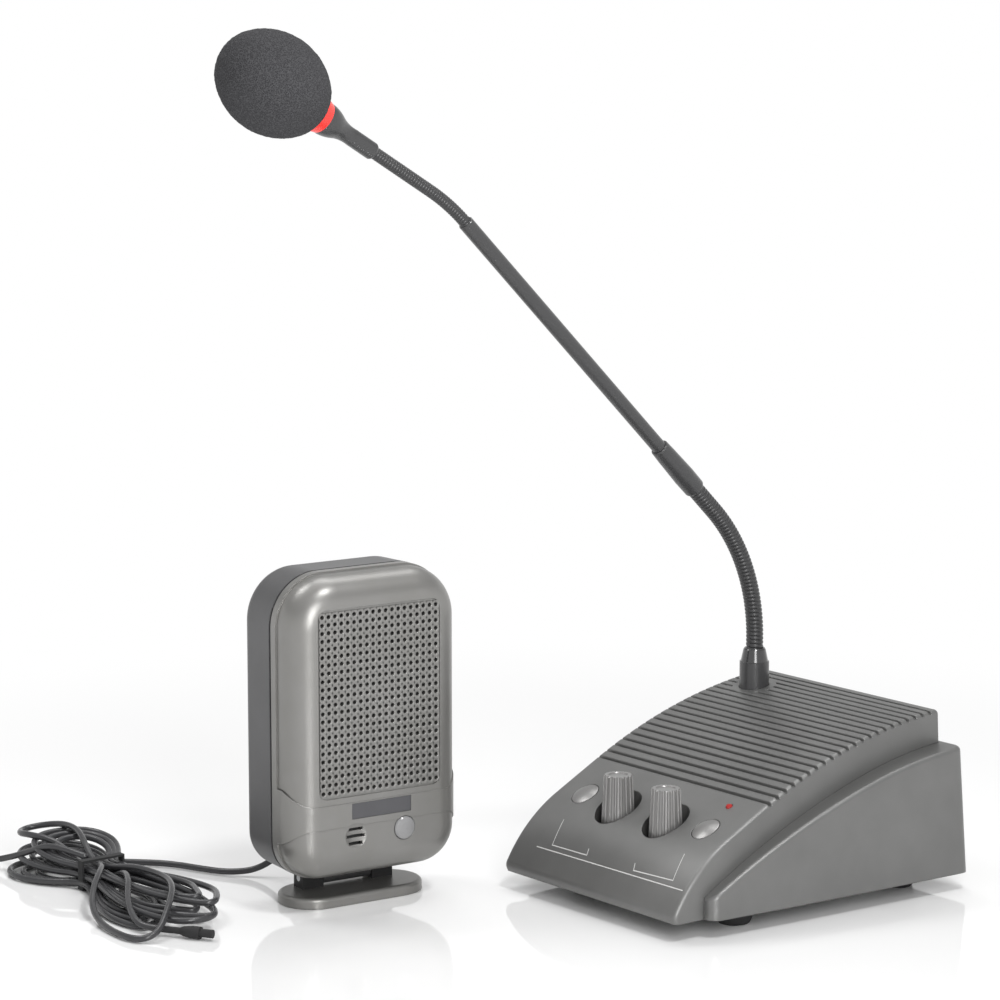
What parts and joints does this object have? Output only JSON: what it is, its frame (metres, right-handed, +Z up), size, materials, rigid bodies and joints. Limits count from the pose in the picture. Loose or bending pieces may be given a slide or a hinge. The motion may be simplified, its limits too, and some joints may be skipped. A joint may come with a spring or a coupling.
{
  "type": "teller window intercom",
  "caption": "Counter intercom set: ribbed desk console with knobs, speaker buttons and a gooseneck microphone, and a tilting outside unit with a perforated grille, call button and bundled lead.",
  "frame": {"origin": "on the desk, under the middle of the set's footprint (console, microphone and outside unit, without the loose lead)", "axes": "+Z up; the console's control panel faces -Y and its width runs along X; the outside unit stands to the left, its grille facing +X"},
  "size_m": [0.3556, 0.3801, 0.3985],
  "materials": {
    "grey_housing": "fine satin, lightly textured moulding",
    "dark_housing": "fine satin, lightly textured moulding",
    "unit_front": "satin",
    "black_control": "satin, rounded edges",
    "rubber": "matt",
    "lead_sheath": "smooth, slightly glossy",
    "steel": "plain turned and pressed steel",
    "black_metal": "black enamel",
    "gooseneck_coil": "ribbed, satin black",
    "red_ring": "even light red",
    "foam": "open-cell foam",
    "felt": "thin black felt",
    "cone_paper": "pressed paper",
    "magnet": "bare ferrite",
    "board": "green laminate",
    "component": "moulded",
    "lamp_lens": "clear red",
    "call_cap": "polished grey",
    "plate": "plain, unmarked"
  },
  "bodies": {
    "console": {"top_cover": "grey_housing", "base_tray": "dark_housing", "rubber_feet": "rubber", "housing_screws": "steel", "main_board": "board", "left_volume_control": "component", "right_volume_control": "component", "left_speaker_switch": "component", "right_speaker_switch": "component", "power_lamp": "lamp_lens", "lamp_spacer": "component", "power_socket": "component", "line_socket": "component", "monitor_frame": "steel", "monitor_cone": "cone_paper", "monitor_magnet": "magnet", "neck_collar": "black_metal", "neck_nut": "steel", "lower_gooseneck": "gooseneck_coil", "stand_foot": "dark_housing", "hinge_pin": "steel", "link_lead": "lead_sheath", "side_lead": "lead_sheath", "side_plug": "rubber", "link_plug": "rubber", "lead_hank": "lead_sheath", "bundle_tie": "rubber"},
    "left_knob": {"left_volume_knob": "black_control", "left_volume_shaft": "steel"},
    "right_knob": {"right_volume_knob": "black_control", "right_volume_shaft": "steel"},
    "left_button": {"left_speaker_button": "black_control"},
    "right_button": {"right_speaker_button": "black_control"},
    "neck": {"joint_sleeve": "black_metal", "neck_tube": "black_metal", "upper_gooseneck": "gooseneck_coil"},
    "head": {"microphone_housing": "black_metal", "light_ring": "red_ring", "microphone_capsule": "component", "foam_windscreen": "foam"},
    "outside_unit": {"front_shell": "unit_front", "rear_shell": "dark_housing", "shell_screws": "steel", "grille_felt": "felt", "driver_frame": "steel", "driver_cone": "cone_paper", "driver_magnet": "magnet", "call_switch": "component", "call_board": "board", "outside_microphone": "component", "name_plate": "plate", "lead_gland": "rubber"},
    "call": {"call_button": "call_cap"}
  },
  "joints": [
    {"name": "left_volume_turn", "type": "hinge", "parent": "console", "child": "left_knob", "pos_m": [0.00633, 0.0303, 0.045], "axis": [0, 0, 1], "range_deg": [-150, 150]},
    {"name": "right_volume_turn", "type": "hinge", "parent": "console", "child": "right_knob", "pos_m": [0.03953, 0.0303, 0.045], "axis": [0, 0, 1], "range_deg": [-150, 150]},
    {"name": "left_speaker_press", "type": "slide", "parent": "console", "child": "left_button", "axis": [0, 0, -1], "range_m": [0, 0.002], "stiffness_N_per_m": 600},
    {"name": "right_speaker_press", "type": "slide", "parent": "console", "child": "right_button", "axis": [0, 0, -1], "range_m": [0, 0.002], "stiffness_N_per_m": 600},
    {"name": "neck_bend", "type": "hinge", "parent": "console", "child": "neck", "pos_m": [-0.01827, 0.1293, 0.1389], "axis": [1, 0, 0], "range_deg": [-40, 25], "deforming": ["lower_gooseneck"]},
    {"name": "head_bend", "type": "hinge", "parent": "neck", "child": "head", "pos_m": [-0.01827, -0.0481, 0.3197], "axis": [1, 0, 0], "range_deg": [-60, 30], "deforming": ["upper_gooseneck"]},
    {"name": "unit_tilt", "type": "hinge", "parent": "console", "child": "outside_unit", "pos_m": [-0.07812, -0.06428, 0.0097], "axis": [0.0872, 0.9962, 0], "range_deg": [-15, 10], "deforming": ["link_lead"]},
    {"name": "call_press", "type": "slide", "parent": "outside_unit", "child": "call", "axis": [-0.9962, 0.0872, 0], "range_m": [0, 0.0015], "stiffness_N_per_m": 600}
  ]
}
